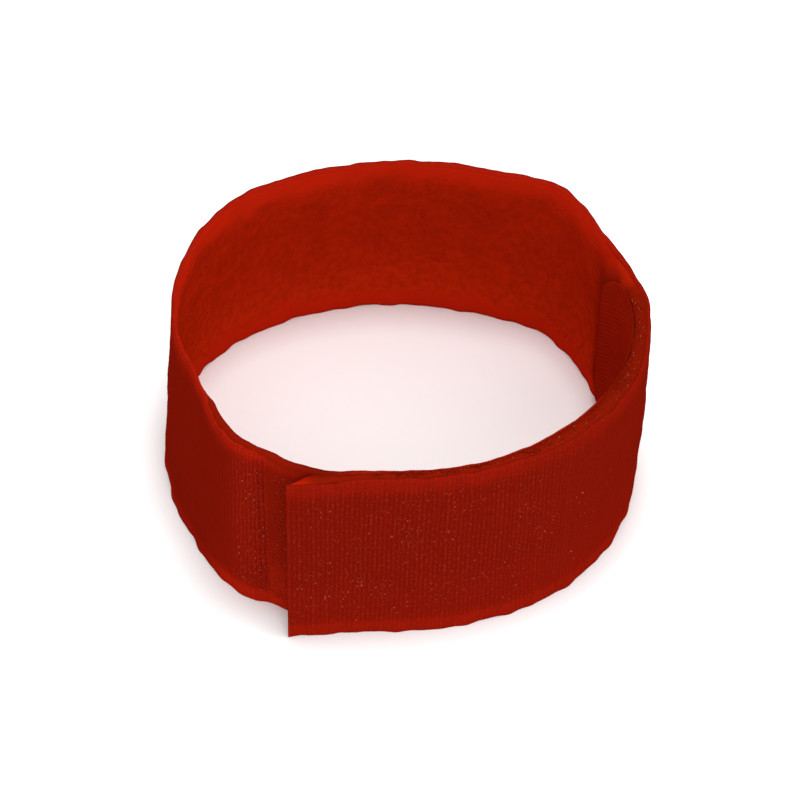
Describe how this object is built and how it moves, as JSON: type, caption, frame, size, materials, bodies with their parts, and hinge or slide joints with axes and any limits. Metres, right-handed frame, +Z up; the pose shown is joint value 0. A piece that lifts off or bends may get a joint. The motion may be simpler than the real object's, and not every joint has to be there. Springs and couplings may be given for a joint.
{
  "type": "marking armband",
  "caption": "Red hook-and-loop marking armband: a woven loop tape wound into a ring and closed on the hook tape sewn to its inner end",
  "frame": {"origin": "on the floor, in the middle of the box around the ring", "axes": "+Z up along the tape's width, -Y to the front where the free outer end closes the band, +X to the right of it"},
  "size_m": [0.0842, 0.0808, 0.04],
  "materials": {
    "loop_tape": "matt red woven tape, ribbed across its back, with a fleecy loop pile on its face",
    "hook_tape": "dark red woven tape with stiff translucent hooks on its outer face and a plain ribbed back"
  },
  "bodies": {
    "root": {"loop_strap": "loop_tape", "hook_tape": "hook_tape"}
  },
  "joints": []
}
